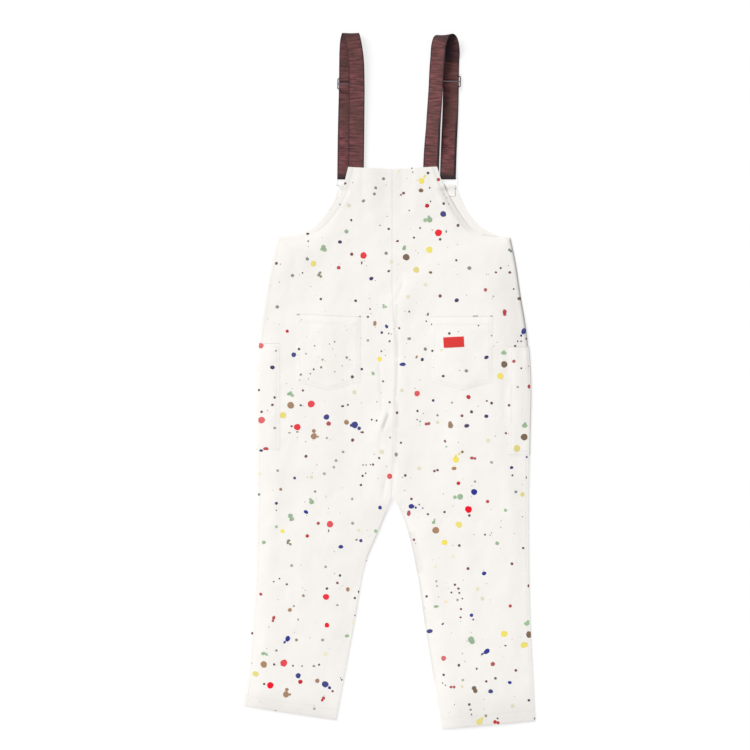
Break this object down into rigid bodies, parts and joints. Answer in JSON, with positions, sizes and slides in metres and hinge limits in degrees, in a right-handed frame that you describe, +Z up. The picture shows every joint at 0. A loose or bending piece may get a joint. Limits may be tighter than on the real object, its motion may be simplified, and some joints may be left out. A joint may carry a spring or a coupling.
{
  "type": "paint spattered bib overalls",
  "caption": "Off-white cotton bib overalls with a paint spatter print and webbing straps, laid flat with the back uppermost.",
  "frame": {"origin": "on the surface that the overalls lie on, under the middle of their bounding box", "axes": "+X from the wearer's left to the right, +Y from the hems to the straps, +Z up from the surface, out of the back of the garment"},
  "size_m": [0.6702, 1.5997, 0.035],
  "materials": {
    "cotton": "matt cotton with a printed paint spatter",
    "webbing": "matt woven webbing",
    "label": "woven, plain",
    "metal": "polished"
  },
  "bodies": {
    "root": {"back_left": "cotton", "back_right": "cotton", "front_left": "cotton", "front_right": "cotton", "label": "label", "pocket_back_left": "cotton", "pocket_back_right": "cotton", "pocket_side_left": "cotton", "pocket_side_right": "cotton", "ring_left": "metal", "ring_right": "metal", "slider_left": "metal", "slider_right": "metal", "strap_left": "webbing", "strap_right": "webbing", "tab_left": "cotton", "tab_right": "cotton"}
  },
  "joints": []
}
